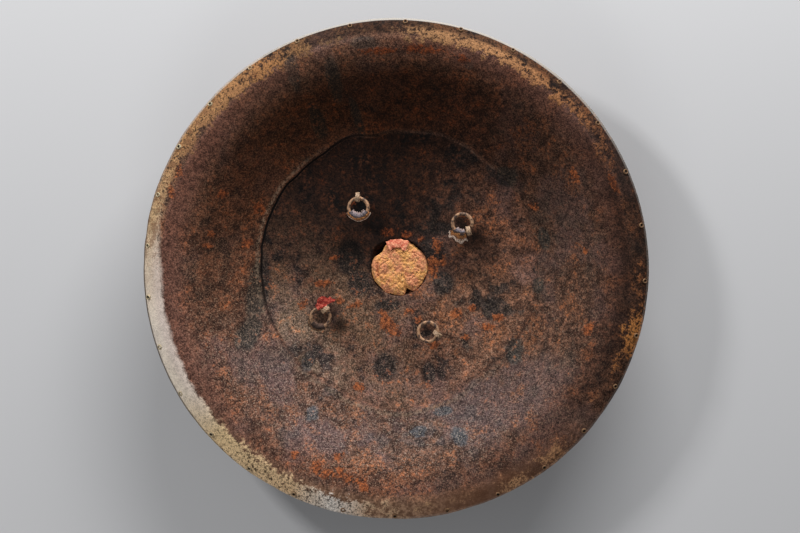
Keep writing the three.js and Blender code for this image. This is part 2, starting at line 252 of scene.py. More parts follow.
# Where orange rust blooms, where dark grey iron is bare, and where grime and painted shadow lie inside and
# below the rings and round the boss, on the points of the sheet: each spot has its place, half width and half
# length in millimetres, and its turn in degrees
spots = {
    "bloom": (
        (38, 22, 6, 12, 20), (34, 3, 8, 14, 8), (44, 6, 5, 9, 0), (-12, -56, 12, 12, 30),
        (-16, -46, 9, 6, 0), (-4, -66, 8, 6, 0), (58, -46, 8, 7, 0), (74, -41, 6, 6, 0),
        (10, -44, 8, 5, 0), (20, -54, 6, 5, 0), (-10, 36, 14, 5, 10), (8, 34, 8, 5, 0), (22, 30, 6, 5, 0),
        (-44, -38, 11, 5, 10), (-60, -34, 7, 5, 0), (-78, -16, 12, 5, 0), (-66, 10, 8, 4, 0),
        (-97, -37, 8, 6, 30), (-48, 66, 4, 5, 0), (34, -78, 8, 5, 0), (66, -70, 6, 6, 0),
        (100, -50, 8, 5, 0), (-78, -196, 7, 9, 20), (-68, -203, 9, 7, 10), (-56, -201, 8, 8, 0),
        (-46, -207, 9, 7, 0), (-34, -209, 8, 6, 0), (-30, -216, 6, 5, 0), (-58, -186, 8, 5, 0),
        (-100, -184, 6, 6, 0), (-205, -112, 6, 8, 0), (-216, 98, 9, 14, 40), (-222, 78, 5, 14, 20),
        (-231, 60, 6, 8, 0), (-173, 74, 8, 5, 30), (-140, 60, 8, 8, 30), (-152, 24, 11, 5, 30),
        (-188, 22, 7, 4, 0), (-184, 34, 5, 5, 0), (136, 62, 7, 6, 0), (187, 18, 3, 4, 0),
        (-137, 190, 9, 8, 40), (90, -60, 10, 5, 0), (-18, 214, 26, 5, 4), (26, 216, 28, 6, -3),
        (66, 206, 10, 5, -20), (190, -60, 10, 6, 60), (-40, -120, 10, 6, 0), (176, 92, 6, 10, 30),
        (214, 84, 5, 14, 25),
    ),
    "bare": (
        (-102, 196, 8, 30, 14), (-80, 146, 9, 24, 16), (-62, 188, 9, 28, 10), (-42, 152, 6, 28, 14),
        (-30, 222, 18, 8, 0), (30, 14, 22, 22, 0), (44, -16, 14, 16, 0), (-50, 10, 18, 24, 0),
        (-92, -94, 9, 14, -20), (36, 40, 26, 10, 0), (-12, -38, 18, 8, 0), (-40, -16, 16, 16, 0),
        (146, 30, 8, 14, 10), (140, -18, 8, 10, 0), (92, -40, 12, 16, 0), (-86, -146, 8, 10, 0),
        (44, -144, 12, 6, 10), (62, -168, 10, 12, 40), (20, -164, 12, 7, 0), (-142, -20, 14, 44, -8),
        (-150, -66, 14, 24, -20), (72, 200, 6, 6, 0), (-14, -100, 16, 18, 0), (30, -106, 10, 14, 0),
        (108, 92, 16, 14, 0), (116, -84, 12, 18, 0),
    ),
    "grime": (
        (-40, 60, 12, 12, 0), (64, 44, 12, 11, 0), (-75, -48, 18, 17, 20), (29, -63, 8, 8, 0),
        (78, 30, 12, 12, 0), (-26, 44, 12, 10, 0), (-62, -58, 12, 10, 0), (0, 0, 33, 33, 0),
    ),
}


def spot_share(x, y, drawn):
    """1 at the middle of a spot, 0 outside all of them"""
    nearest = 9.0
    for at_x, at_y, wide, tall, turn in drawn:
        if abs(x - at_x) > 50 or abs(y - at_y) > 50:
            continue
        way = radians(turn)
        along = (x - at_x) * cos(way) + (y - at_y) * sin(way)
        over = (y - at_y) * cos(way) - (x - at_x) * sin(way)
        nearest = min(nearest, hypot(along / wide, over / tall))
    share = min(max((1.3 - nearest) / 0.95, 0), 1)
    return share * share * (3 - 2 * share)


for name, drawn in spots.items():
    field = body.data.attributes.new(name, "FLOAT", "POINT")
    shares = [spot_share(vertex.co.x * 1000, vertex.co.y * 1000, drawn) for vertex in body.data.vertices]
    field.data.foreach_set("value", shares)

dent(0.075, 0.0022)
dent(0.022, 0.0009)
dent(0.008, 0.00035, "VORONOI_F1")
bpy.ops.object.shade_smooth()


# Finishes
# A finish is built from threads. A thread is one number, colour or place that runs over the surface, and
# arithmetic on threads adds the nodes for it.
def paint(red, green, blue):
    """A colour as a screen shows it, from 0 to 255"""
    parts = (part / 255 for part in (red, green, blue))
    return (*(part / 12.92 if part <= 0.04045 else ((part + 0.055) / 1.055) ** 2.4 for part in parts), 1.0)


class Thread:
    """One output of a finish's nodes, which adds, multiplies and so on like a number"""

    def __init__(self, finish, socket):
        self.finish = finish
        self.socket = socket

    def sum_up(self, operation, first, second=0.0):
        return self.finish.node("ShaderNodeMath", {"operation": operation}, {0: first, 1: second})

    def __add__(self, other):
        return self.sum_up("ADD", self, other)

    def __sub__(self, other):
        return self.sum_up("SUBTRACT", self, other)

    def __rsub__(self, other):
        return self.sum_up("SUBTRACT", other, self)

    def __mul__(self, other):
        return self.sum_up("MULTIPLY", self, other)

    def __truediv__(self, other):
        return self.sum_up("DIVIDE", self, other)

    def __pow__(self, other):
        return self.sum_up("POWER", self, other)

    __radd__ = __add__
    __rmul__ = __mul__

    def or_more(self, other):
        return self.sum_up("MAXIMUM", self, other)

    def between(self, low, high):
        """0 up to low, 1 from high on, and a smooth rise from one to the other"""
        settings = {"interpolation_type": "SMOOTHSTEP"}
        return self.finish.node("ShaderNodeMapRange", settings, {0: self, 1: low, 2: high})


class Finish:
    """A material and its nodes, with the place on the piece in millimetres as its first thread"""

    def __init__(self, name, **shader):
        self.material = bpy.data.materials.new(name)
        self.material.use_nodes = True
        self.tree = self.material.node_tree
        self.shader = self.tree.nodes["Principled BSDF"]
        for socket, value in shader.items():
            self.shader.inputs[self.called(socket)].default_value = value
        spot = self.node("ShaderNodeTexCoord", out="Object")
        self.place = self.node("ShaderNodeVectorMath", {"operation": "SCALE"}, {0: spot, "Scale": 1000.0})

    def called(self, socket):
        """The shader's own name for a socket"""
        return socket.replace("_", " ").title().replace("Ior", "IOR")

    def node(self, kind, settings=None, sockets=None, out=0):
        """Any node: its settings first, then the values or threads of its sockets"""
        made = self.tree.nodes.new(kind)
        for name, value in (settings or {}).items():
            if name == "stops":
                first, *rest = value
                made.color_ramp.elements.remove(made.color_ramp.elements[1])
                made.color_ramp.elements[0].position, made.color_ramp.elements[0].color = first
                for position, colour in rest:
                    made.color_ramp.elements.new(position).color = colour
            else:
                setattr(made, name, value)
        for name, value in (sockets or {}).items():
            if isinstance(value, Thread):
                self.tree.links.new(value.socket, made.inputs[name])
            else:
                made.inputs[name].default_value = value
        return Thread(self, made.outputs[out])

    def grain(self, size, seed, detail=2.0, roughness=0.5):
        """Cloudy noise, about 0.5 on average, with lumps of a size in millimetres"""
        settings = {"noise_dimensions": "4D"}
        sockets = {"Vector": self.place, "W": seed * 7.3, "Scale": 1 / size}
        sockets.update({"Detail": detail, "Roughness": roughness})
        return self.node("ShaderNodeTexNoise", settings, sockets)

    def axis(self, number):
        """The place along the x, y or z axis in millimetres"""
        return self.node("ShaderNodeSeparateXYZ", sockets={0: self.place}, out=number)

    def mix(self, first, second, share):
        """A colour on its way from the first to the second"""
        return self.node("ShaderNodeMix", {"data_type": "RGBA"}, {0: share, 6: first, 7: second}, out=2)

    def drawn(self, name):
        """A number that was laid on the points of the mesh"""
        return self.node("ShaderNodeAttribute", {"attribute_name": name}, out="Fac")

    def stain(self, colour, tint, share):
        """A colour multiplied by a tint, by a share"""
        tint = tint if isinstance(tint, Thread) else (*tint, 1)
        settings = {"data_type": "RGBA", "blend_type": "MULTIPLY"}
        return self.node("ShaderNodeMix", settings, {0: share, 6: colour, 7: tint}, out=2)

    def shade(self, colour, factor):
        """A colour made darker or lighter by a thread"""
        grey = self.node("ShaderNodeCombineColor", sockets={0: factor, 1: factor, 2: factor})
        return self.stain(colour, grey, 1.0)

    def colours(self, share, stops):
        """A colour read off a row of stops, each a share and the red, green and blue there"""
        stops = [(at, paint(*tone)) for at, *tone in stops]
        return self.node("ShaderNodeValToRGB", {"stops": stops}, {0: share})

    def levels(self, share, stops):
        """A number read off a row of stops, each a share and the number there"""
        stops = [(at, (level, level, level, 1)) for at, level in stops]
        greys = self.node("ShaderNodeValToRGB", {"stops": stops}, {0: share})
        return self.node("ShaderNodeSeparateColor", sockets={0: greys})

    def put(self, **threads):
        for socket, thread in threads.items():
            self.tree.links.new(thread.socket, self.shader.inputs[self.called(socket)])

    def bumps(self, height, depth):
        """Lets a thread stand up from the surface by a depth in millimetres"""
        sockets = {"Height": height, "Distance": depth / 1000, "Strength": 1.0}
        self.put(normal=self.node("ShaderNodeBump", sockets=sockets))


# Shield body, its hand side
# Old forge scale and rust. A fine pale grain lies over brown, with dark blue-grey iron where it is bare and
# orange where the rust blooms. A band under the crest is smooth and purple-brown, and a pale crust of old
# paste is left on the lip where the lining was.
iron = Finish("rusted_iron_hand_side", specular_ior_level=0.15)
across, up = iron.axis(0), iron.axis(1)
radius = (across ** 2 + (up / rim_oval) ** 2) ** 0.5
around = iron.node("ShaderNodeMath", {"operation": "ARCTAN2"}, {0: up, 1: across}) / tau + 0.5
outward = iron.drawn("from_step") * 1000


def facing(angle, spread):
    """1 towards an angle of the shield and 0 away from it, over a spread in degrees to each side"""
    turn = radians(angle)
    lean = (across * cos(turn) + up * sin(turn)) / (radius + 1)
    return lean.between(cos(radians(spread)), 1.0)


broad = iron.grain(60, 1, detail=3)
patches = iron.grain(24, 2, detail=4, roughness=0.62)
mottle = iron.grain(8, 3, detail=4, roughness=0.68)
specks = iron.grain(3.0, 4, detail=3, roughness=0.75)
grit = iron.grain(1.4, 5, detail=2, roughness=0.8)
fine = grit.between(0.4, 0.6)

on_disc = 1 - outward.between(-2.5, 1)
on_wall = outward.between(-1, 3) * (1 - radius.between(226, 232))
high_wall = radius.between(190, 215)
on_lip = radius.between(226, 236)
band = radius.between(200, 222) * (1 - radius.between(229, 234))
band = band * facing(172, 75).or_more(facing(40, 70) * 0.8).or_more(0.2)
rough_ground = 1 - band * 0.7

brown = iron.mix(paint(70, 46, 36), paint(120, 82, 64), mottle.between(0.4, 0.6))
brown = iron.mix(brown, paint(110, 82, 76), broad.between(0.48, 0.6) * 0.6)
brown = iron.mix(brown, paint(138, 86, 58), patches.between(0.52, 0.64) * specks.between(0.4, 0.55) * 0.7)
dust = (facing(215, 100) * on_disc).or_more(facing(120, 60) * 0.5) * patches.between(0.38, 0.58)
colour = iron.mix(brown, iron.mix(paint(88, 70, 56), paint(124, 98, 78), mottle), dust * 0.7)
bare = (1 - patches.between(0.38, 0.47)) * (0.4 + 0.5 * on_disc) * rough_ground
bare = bare.or_more((iron.drawn("bare") + (mottle - 0.5) * 1.8 + (specks - 0.5) * 0.8).between(0.3, 0.8))
blue_grey = iron.mix(paint(56, 54, 55), paint(100, 96, 94), mottle.between(0.35, 0.7))
dark_grey = iron.mix(paint(44, 40, 37), paint(88, 80, 72), mottle.between(0.35, 0.7))
charcoal = iron.mix(paint(24, 22, 22), paint(64, 58, 56), mottle.between(0.35, 0.7))
bare_tone = iron.mix(iron.mix(dark_grey, blue_grey, facing(266, 62)), charcoal, on_disc)
colour = iron.mix(colour, bare_tone, bare * 0.88)

orange = iron.mix(paint(116, 62, 38), paint(190, 108, 62), specks.between(0.42, 0.62))
rust = (mottle * 0.6 + specks * 0.4).between(0.53, 0.61) * rough_ground
colour = iron.mix(colour, orange, rust * (0.08 + 0.42 * patches.between(0.48, 0.6)))
colour = iron.mix(colour, iron.mix(paint(88, 56, 46), paint(124, 86, 74), mottle), band * 0.8)

# Fine light and dark grain, pits, and grime with painted shadow in and below the rings and round the boss
colour = iron.shade(colour, 0.3 + 0.75 * fine + 0.7 * specks.between(0.4, 0.6))
pale_grain = grit.between(0.55, 0.66) * (0.35 + 0.4 * facing(240, 110) + 0.25 * on_wall) * rough_ground
colour = iron.mix(colour, paint(176, 148, 124), pale_grain * 0.7)
pits = (1 - grit.between(0.33, 0.42)) * rough_ground
colour = iron.mix(colour, paint(24, 18, 16), pits * 0.8)
# Grime and painted shadow: dark inside the rings, under their shadows to the lower right, and round the boss
colour = iron.stain(colour, (0.16, 0.14, 0.13), iron.drawn("grime") * 0.9)

# Painted light and shade, by direction: darker towards the top, where the rim shades the disc and the wall
# faces away from the light, lighter and greyer towards the bottom, where the lower wall catches it, and
# darker and browner on the right: each tint with the share of it that a place takes
shaded_disc_top = facing(113, 103) * on_disc
outer_disc = on_disc * radius.between(80, 125)
inner_disc = on_disc * (1 - radius.between(80, 125))
low_wall = on_wall * (1 - high_wall)
for tint, share in (
    ((0.09, 0.055, 0.033), shaded_disc_top * 0.97),
    ((0.42, 0.28, 0.17), facing(108, 95) * on_wall * (1 - 0.5 * high_wall)),
    ((0.64, 0.6, 0.57), facing(62, 75) * low_wall),
    ((0.54, 0.52, 0.5), facing(350, 100) * high_wall * (1 - on_lip)),
    ((0.8, 0.86, 0.88), facing(350, 100) * low_wall),
    ((0.98, 1.14, 1.3), facing(262, 80) * low_wall),
    ((1.3, 1.35, 1.45), facing(260, 62) * outer_disc),
    ((1.4, 1.6, 1.7), facing(216, 34) * outer_disc),
    ((1.25, 1.35, 1.35), facing(330, 40) * on_disc),
    ((0.84, 0.8, 0.74), facing(172, 38) * low_wall),
    ((0.55, 0.54, 0.52), facing(8, 34) * inner_disc),
):
    colour = iron.stain(colour, tint, share)
# Rust specks left showing through the painted shade of the upper disc
faint_specks = rust * shaded_disc_top * (1 - patches.between(0.42, 0.56))
colour = iron.mix(colour, paint(104, 60, 38), faint_specks * 0.45)

# Orange blooms of rust
bloom = (iron.drawn("bloom") + (mottle - 0.5) * 2.2 + (specks - 0.5) * 2.2).between(0.45, 1.0)
bloom_tone = iron.shade(orange, 0.5 + 0.6 * fine)
# Blooms on the upper disc and the upper wall take the same painted shade
bloom_tone = iron.stain(bloom_tone, (0.5, 0.4, 0.34), shaded_disc_top.or_more(facing(108, 95) * on_wall))
colour = iron.mix(colour, bloom_tone, bloom * 0.88)

# Dirt and painted shadow in the corner under the step, strongest on the upper left away from the light, and a
# rubbed edge over it
line = 1 - ((outward - 0.1) ** 2) ** 0.5 / 1.2
shaded_side = facing(150, 80).or_more(facing(318, 32) * 0.5).or_more(0.1)
colour = iron.mix(colour, paint(14, 11, 10), (line + (specks - 0.5) * 0.8).between(0, 0.5) * shaded_side)
rubbed_sides = (facing(165, 50) * 0.4).or_more(facing(262, 60) * 0.55)
rubbed = outward.between(1.5, 3) * (1 - outward.between(4, 7)) * rubbed_sides
colour = iron.mix(colour, paint(170, 148, 124), rubbed * specks.between(0.42, 0.58) * 0.7)

# The lip without crust: tan at the bottom, made lighter there as painted light, dark on the right and at
# the top
tan_grain = (specks * 0.6 + mottle * 0.4).between(0.42, 0.58)
tan_lip_and_light = iron.mix(paint(128, 94, 72), paint(204, 162, 130), tan_grain)
tan_lip_and_light = iron.mix(tan_lip_and_light, iron.mix(paint(110, 70, 48), paint(150, 108, 82), mottle), facing(300, 32))
colour = iron.mix(colour, tan_lip_and_light, radius.between(222, 238) * facing(268, 62) * 0.85)
# On the right the band under the crest is darkened as painted shade
colour = iron.stain(colour, (0.42, 0.4, 0.36), radius.between(212, 228) * facing(2, 48))
colour = iron.stain(colour, (0.24, 0.21, 0.18), radius.between(230, 238) * facing(72, 98))

# Crust of old paste on the lip. The stops run from the left round by the bottom, the right and the top.
crust_tone = iron.colours(around, (
    (0.0, 228, 208, 184), (0.04, 238, 224, 208), (0.085, 240, 224, 204), (0.12, 236, 204, 156),
    (0.18, 226, 190, 148), (0.208, 240, 230, 220), (0.232, 214, 178, 144), (0.27, 176, 136, 102),
    (0.34, 196, 148, 108), (0.4, 150, 104, 70), (0.44, 158, 102, 58), (0.458, 184, 122, 66),
    (0.48, 130, 82, 50), (0.57, 96, 60, 40), (0.62, 138, 92, 58), (0.68, 156, 112, 76),
    (0.735, 138, 102, 70), (0.76, 92, 72, 52), (0.8, 104, 80, 56), (0.84, 146, 102, 64),
    (0.92, 182, 138, 94), (0.97, 208, 174, 132), (1.0, 228, 208, 184),
))
cover = iron.levels(around, (
    (0.0, 0.97), (0.09, 0.95), (0.125, 0.74), (0.19, 0.7), (0.205, 0.88), (0.226, 0.86), (0.24, 0.34),
    (0.31, 0.24), (0.335, 0.44), (0.36, 0.44), (0.38, 0.22), (0.42, 0.24), (0.445, 0.4), (0.458, 0.54),
    (0.474, 0.3), (0.52, 0.16), (0.58, 0.26), (0.63, 0.5), (0.68, 0.62), (0.735, 0.5), (0.76, 0.24),
    (0.8, 0.3), (0.84, 0.56), (0.93, 0.8), (1.0, 0.97),
))
start = iron.levels(around, (
    (0.0, 0.1), (0.07, 0.14), (0.12, 0.2), (0.18, 0.28), (0.21, 0.4), (0.28, 0.6), (0.4, 0.6), (0.5, 0.45),
    (0.62, 0.1), (0.8, 0.1), (0.87, 0.2), (0.93, 0.6), (0.97, 0.5), (1.0, 0.1),
))
smooth_side = facing(196, 40)
ragged_edge = radius + (mottle - 0.5) * (44 - 34 * smooth_side) + (specks - 0.5) * (14 - 10 * smooth_side)
crust = cover * 1.5 - 0.45 + (patches - 0.5) * 2.2
crust = (crust + (mottle - 0.5) * 1.4 + (specks - 0.5) * 1.6).between(0.05, 0.45)
outer_film = radius.between(238, 243) * facing(72, 58)
crust = (ragged_edge - 14 * start).between(226, 232) * crust * (1 - 0.85 * outer_film)
whiter = (1 - radius.between(234, 245)) * facing(192, 32)
crust_tone = iron.mix(crust_tone, paint(216, 198, 188), whiter * 0.8)
crust_colour = iron.shade(crust_tone, 0.6 + 0.5 * fine + 0.3 * specks.between(0.35, 0.65))
smooth_colour = iron.shade(crust_tone, 0.82 + 0.2 * mottle.between(0.35, 0.6) + 0.2 * fine)
crust_colour = iron.mix(crust_colour, smooth_colour, smooth_side * 0.9)
crust_brown = (specks * 0.5 + mottle * 0.5).between(0.47, 0.55) * facing(156, 36)
crust_colour = iron.mix(crust_colour, paint(118, 82, 58), crust_brown * 0.8)
crust_pits = (1 - specks.between(0.4, 0.47)).or_more(1 - grit.between(0.36, 0.43)) * (1 - smooth_side * 0.9)
crust_colour = iron.mix(crust_colour, paint(50, 36, 28), crust_pits * 0.9)
colour = iron.mix(colour, crust_colour, crust)
# A painted highlight along the edge, brightest at the top, and a painted shadow line on the outer edge at the
# left
edge_highlight = radius.between(247.3, 248.0) * (0.2 + 0.8 * facing(90, 75))
colour = iron.mix(colour, paint(178, 172, 164), edge_highlight * (1 - smooth_side) * 0.85)
colour = iron.mix(colour, paint(52, 44, 40), radius.between(247.8, 248.6) * smooth_side * 0.8)

iron.put(base_color=colour, roughness=0.84 - 0.26 * bare + 0.08 * crust, metallic=0.2 * bare)
iron.bumps(specks * 0.6 + fine * 0.25 + mottle * 0.7 + 0.4 * bloom + 0.5 * crust, 0.5)

# Shield body, its front and its edge
# The front faces the floor. It has the same brown skin, plainer, with broad rubbed patches. The cut edge of
# the sheet is rubbed to bare metal.
front = Finish("rusted_iron_front", roughness=0.75)
front_broad = front.grain(48, 11, detail=4)
front_mottle = front.grain(7, 12, detail=4, roughness=0.65)
front_specks = front.grain(2.4, 13, detail=3, roughness=0.7)
skin = front.mix(paint(62, 44, 36), paint(104, 70, 52), front_broad.between(0.35, 0.65))
skin = front.mix(skin, paint(58, 59, 62), front_mottle.between(0.52, 0.66) * 0.7)
front_rust = front_mottle.between(0.4, 0.5) * front_specks.between(0.5, 0.6) * front_broad.between(0.45, 0.6)
skin = front.mix(skin, paint(164, 92, 52), front_rust * 0.8)
skin = front.shade(skin, 0.65 + 0.7 * front_specks.between(0.3, 0.7))
front.put(base_color=skin, roughness=0.7 + 0.2 * front_rust)
front.bumps(front_specks * 0.5 + front_mottle * 0.7 + 0.4 * front_rust, 0.5)

edge = Finish("rubbed_sheet_edge", roughness=0.45)
edge_tone = edge.grain(6, 14, detail=3)
edge.put(base_color=edge.mix(paint(58, 48, 42), paint(146, 140, 134), edge_tone.between(0.35, 0.6)))
edge.put(metallic=edge_tone.between(0.4, 0.65) * 0.7)

for finish in (iron, front, edge):
    body.data.materials.append(finish.material)
bpy.context.view_layer.objects.active = body
use("SOLIDIFY", thickness=sheet, offset=-1, material_offset=1, material_offset_rim=2)
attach(body, "root")
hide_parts("shield_body")

# Rim rivets
# Small iron rivets that once held the lining. Each has a raised ring of a head, crusted pale like the lip
# round it, with a dark hollow where the end of the shank has rusted away.
rivet_head, rivet_hollow, rivet_rise = 0.0025, 0.0013, 0.0010
rivet_reach = sheet / 2 + 0.0003
rivet_sides = 20
lip_slope = radians(30)

rivet_crust = Finish("crusted_rivet_head", roughness=0.85)
rivet_grain = rivet_crust.grain(1.1, 21, detail=3, roughness=0.7)
rivet_left = (0 - rivet_crust.axis(0)).between(40, 230)
rivet_tone = rivet_crust.mix(paint(132, 98, 66), paint(196, 180, 146), rivet_left)
rivet_tone = rivet_crust.mix(rivet_tone, paint(74, 54, 38), rivet_grain.between(0.5, 0.62) * 0.8)
rivet_crust.put(base_color=rivet_tone)
rivet_crust.bumps(rivet_grain, 0.3)
rivet_dark = Finish("rivet_hollow", roughness=0.9)
rivet_dark_grain = rivet_dark.grain(0.8, 22).between(0.45, 0.7)
rivet_dark.put(base_color=rivet_dark.mix(paint(22, 16, 12), paint(62, 44, 28), rivet_dark_grain))

rivet_top = rivet_reach + rivet_rise
rivet_rings = (
    (rivet_hollow * 0.4, rivet_reach - 0.0003), (rivet_hollow * 0.85, rivet_reach - 0.0002),
    (rivet_hollow, rivet_reach + rivet_rise * 0.5), (rivet_hollow * 1.25, rivet_reach + rivet_rise * 0.95),
    (share_of(rivet_hollow, rivet_head, 0.6), rivet_top),
    (rivet_head * 0.93, rivet_reach + rivet_rise * 0.55), (rivet_head, rivet_reach),
    (rivet_head * 0.9, 0), (rivet_head * 0.8, -rivet_reach),
    (rivet_head * 0.7, -rivet_reach - rivet_rise * 0.6), (rivet_head * 0.35, -rivet_top),
)
bpy.ops.mesh.primitive_circle_add(
    vertices=rivet_sides, radius=rivet_rings[0][0], fill_type="NGON", enter_editmode=True)
rivet_model = bpy.context.object
pull_rings(rivet_rings)
bpy.ops.mesh.edge_face_add()
face_outward()
rivet_model.data.materials.append(rivet_crust.material)
rivet_model.data.materials.append(rivet_dark.material)
for face in rivet_model.data.polygons:
    face.material_index = int(face.center.z > 0 and face.center.to_2d().length < rivet_hollow * 0.98)
bpy.ops.object.shade_smooth_by_angle(angle=radians(50))

rivet_nodes = sorted(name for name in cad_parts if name.startswith("rim_rivet_"))
for i, node in enumerate(rivet_nodes):
    low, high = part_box(node)
    middle = (low + high) / 2
    rivet = rivet_model.copy()
    rivet.data = rivet_model.data.copy()
    rivet.name = f"lip_rivet_{i + 1:02d}"
    bpy.context.scene.collection.objects.link(rivet)
    way = atan2(middle.y, middle.x)
    size = 0.94 + 0.12 * (i * 7 % 5) / 4
    stand = Matrix.Translation(middle) @ Matrix.Rotation(way, 4, "Z") @ Matrix.Rotation(lip_slope, 4, "Y")
    rivet.data.transform(stand @ Matrix.Diagonal((size, size, 1, 1)))
    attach(rivet, "root")
    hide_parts(node)
bpy.data.objects.remove(rivet_model)

# Ring eyes
# Four strips of iron, each bent round to an eye with both legs together, pushed through a slot in the disc
# and spread on the other side. They are rubbed to a pale pitted brown.
strip_width, strip_thick, eye_hole = 0.0042, 0.0015, 0.0035
eye_middle = eye_hole + strip_thick / 2
eye_opening = 55
neck = 0.0012
leg_end, leg_spread, spread_drop = 0.0006, 0.0018, 0.002
eye_turns = {"upper_left": 90, "upper_right": 105, "lower_left": 40, "lower_right": 142}

ring_iron = Finish("rubbed_ring_iron", roughness=0.6)
ring_grain = ring_iron.grain(3.4, 31, detail=4, roughness=0.6)
ring_specks = ring_iron.grain(0.9, 32, detail=3, roughness=0.7)
ring_tone = ring_iron.mix(paint(60, 40, 30), paint(186, 144, 110), ring_grain.between(0.38, 0.58))
ring_tone = ring_iron.mix(ring_tone, paint(156, 88, 48), ring_grain.between(0.58, 0.7) * 0.6)
ring_tone = ring_iron.mix(ring_tone, paint(58, 38, 28), ring_specks.between(0.56, 0.66) * 0.7)
ring_iron.put(base_color=ring_tone, metallic=0.35 * ring_grain.between(0.4, 0.6))
ring_iron.bumps(ring_specks * 0.6 + ring_grain * 0.5, 0.25)


def pick(test):
    """Selects the faces of the piece in hand that pass the test, and goes on in edit mode"""
    bpy.ops.mesh.select_mode(type="FACE")
    bpy.ops.mesh.select_all(action="DESELECT")
    bpy.ops.object.mode_set(mode="OBJECT")
    for face in bpy.context.object.data.polygons:
        face.select = bool(test(face))
    bpy.ops.object.mode_set(mode="EDIT")


eye_iron = Finish("pale_rubbed_eye_iron", roughness=0.55)
eye_specks = eye_iron.grain(1.0, 36, detail=3, roughness=0.75)
eye_tone = eye_iron.mix(paint(96, 70, 52), paint(206, 172, 138), eye_specks.between(0.38, 0.6))
eye_iron.put(base_color=eye_tone)
eye_iron.bumps(eye_specks, 0.3)

for corner, turn in eye_turns.items():
    low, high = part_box(f"ring_eye_{corner}")
    middle = (low + high) / 2
    eye_height = high.z - eye_hole - strip_thick
    bpy.ops.mesh.primitive_plane_add(size=1, location=(eye_middle, 0, 0))
    eye = bpy.context.object
    eye.name = f"bent_eye_{corner}"
    eye.scale = (strip_thick, strip_width, 1)
    bpy.ops.object.transform_apply(location=True, rotation=False, scale=True)
    bpy.ops.object.mode_set(mode="EDIT")
    bpy.ops.mesh.select_all(action="SELECT")
    bpy.ops.transform.rotate(value=radians(-eye_opening), orient_axis="Y", center_override=(0, 0, 0))
    bpy.ops.mesh.spin(steps=18, angle=radians(290), center=(0, 0, 0), axis=(0, -1, 0))
    bpy.ops.mesh.select_all(action="SELECT")
    bpy.ops.mesh.fill_holes(sides=4)
    bpy.ops.mesh.normals_make_consistent(inside=False)
    for side in (1, -1):
        pick(lambda face: face.center.z < 0 and face.center.x * side > 0 and len(face.vertices) == 4
             and abs(face.area - strip_thick * strip_width) < 2e-7)
        ends = [f.center.copy() for f in bpy.context.object.data.polygons if f.select]
        bpy.ops.mesh.extrude_region_move()
        if ends:
            to_neck = Vector((side * strip_thick * 0.52, 0, -eye_middle - neck)) - ends[0]
            bpy.ops.transform.translate(value=to_neck)
            bpy.ops.transform.rotate(
                value=side * radians(-eye_opening), orient_axis="Y", center_override=ends[0] + to_neck)
            drop = eye_height - eye_middle - neck - leg_end - spread_drop
            bpy.ops.mesh.extrude_region_move(TRANSFORM_OT_translate={"value": (0, 0, -drop)})
            spread = (side * leg_spread, 0, -spread_drop)
            bpy.ops.mesh.extrude_region_move(TRANSFORM_OT_translate={"value": spread})
    face_outward()
    use("BEVEL", width=0.0003, segments=2, limit_method="ANGLE", angle_limit=radians(50))
    use("SUBSURF", levels=1, render_levels=1)
    eye.rotation_euler.z = radians(turn)
    eye.location = (middle.x, middle.y, eye_height)
    bpy.ops.object.transform_apply(location=True, rotation=True, scale=False)
    dent(0.0022, 0.0005)
    bpy.ops.object.shade_smooth()
    eye.data.materials.append(eye_iron.material)
    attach(eye, "root")
    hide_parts(f"ring_eye_{corner}")

# Strap rings
# Iron wire bent round to a ring, its two ends butted together but for one that has sprung open. Each hangs
# loose in its eye and lies nearly level. A row says which way a ring hangs, its slack, its lean, where its
# ends meet and how far they stand apart.
wire, ring_radius = 0.0018, 0.00965
ring_places = {}
ring_fall = {
    "upper_left": (274, 0.0012, 0, 20, 0.0005),
    "upper_right": (131, 0, 0, 202, 0.0024),
    "lower_left": (238, 0, -18, 20, 0.0005),
    "lower_right": (167, 0, 4, 84, 0.0007),
}
for corner, (hang, slack, lean, joint_at, gap) in ring_fall.items():
    eye_low, eye_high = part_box(f"ring_eye_{corner}")
    pivot = (eye_low + eye_high) / 2
    pivot.z = eye_high.z - eye_hole - strip_thick
    ring_places[corner] = (
        Matrix.Translation(pivot) @ Matrix.Rotation(radians(hang), 4, "Z")
        @ Matrix.Rotation(radians(lean), 4, "X")
        @ Matrix.Translation((ring_radius + slack, 0, 0)))
    open_turn = gap / ring_radius
    bpy.ops.mesh.primitive_circle_add(
        vertices=16, radius=wire, fill_type="NGON", location=(ring_radius, 0, 0),
        rotation=(radians(90), 0, 0))
    ring = bpy.context.object
    ring.name = f"wire_ring_{corner}"
    bpy.ops.object.transform_apply(location=True, rotation=True, scale=False)
    bpy.ops.object.mode_set(mode="EDIT")
    bpy.ops.mesh.select_all(action="SELECT")
    bpy.ops.mesh.spin(steps=64, angle=tau - open_turn, center=(0, 0, 0), axis=(0, 0, -1))
    bpy.ops.mesh.select_all(action="SELECT")
    bpy.ops.mesh.fill_holes(sides=0)
    face_outward()
    joint = radians(joint_at) + open_turn / 2
    ring.data.transform(ring_places[corner] @ Matrix.Rotation(joint, 4, "Z"))
    use("BEVEL", width=0.0003, segments=2, limit_method="ANGLE", angle_limit=radians(60))
    dent(0.0035, 0.0006)
    bpy.ops.object.shade_smooth()
    ring.data.materials.append(ring_iron.material)
    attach(ring, "root")
    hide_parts(f"strap_ring_{corner}")

